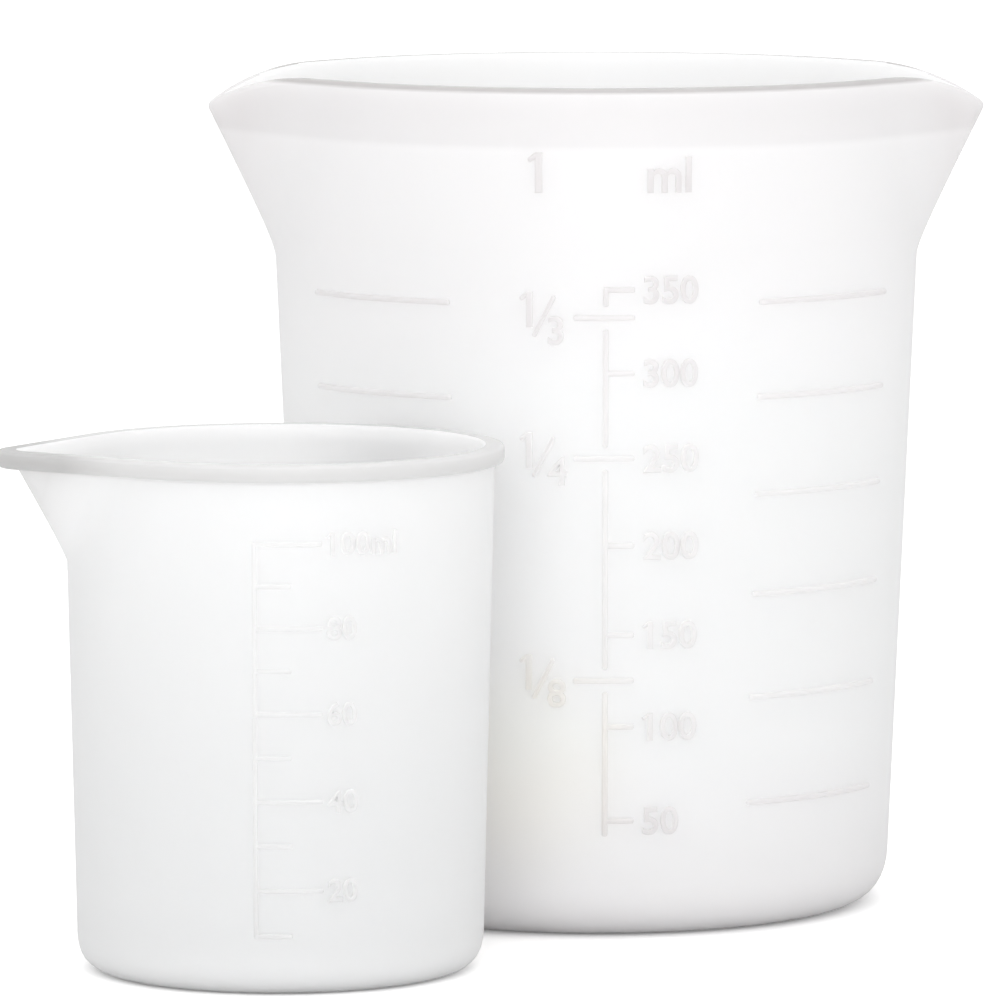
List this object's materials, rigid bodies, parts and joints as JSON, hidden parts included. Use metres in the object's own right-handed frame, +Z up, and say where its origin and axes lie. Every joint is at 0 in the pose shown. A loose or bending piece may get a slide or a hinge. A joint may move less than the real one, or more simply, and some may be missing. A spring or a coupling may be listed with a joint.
{
  "type": "resin mixing cup set",
  "caption": "Frosted silicone mixing cups for resin: a large graduated cup with two pouring spouts and a small graduated cup with one spout.",
  "frame": {"origin": "centre of the large cup's base, on the surface that both cups stand on", "axes": "+Z up, the large cup's two spouts point along +X and -X, and its scale faces -Y. The small cup stands in front and to the left"},
  "size_m": [0.1261, 0.1291, 0.1085],
  "materials": {
    "frosted_silicone": "compression-moulded translucent silicone with a fine frosted surface",
    "clear_frosted_silicone": "compression-moulded translucent silicone with a fine frosted surface, a little clearer and cooler"
  },
  "bodies": {
    "large_cup": {"large_cup": "frosted_silicone"},
    "small_cup": {"small_cup": "clear_frosted_silicone"}
  },
  "joints": [
    {"name": "small_cup_lift", "type": "slide", "parent": "large_cup", "child": "small_cup", "axis": [0, 0, 1], "range_m": [0, 0.12]}
  ]
}
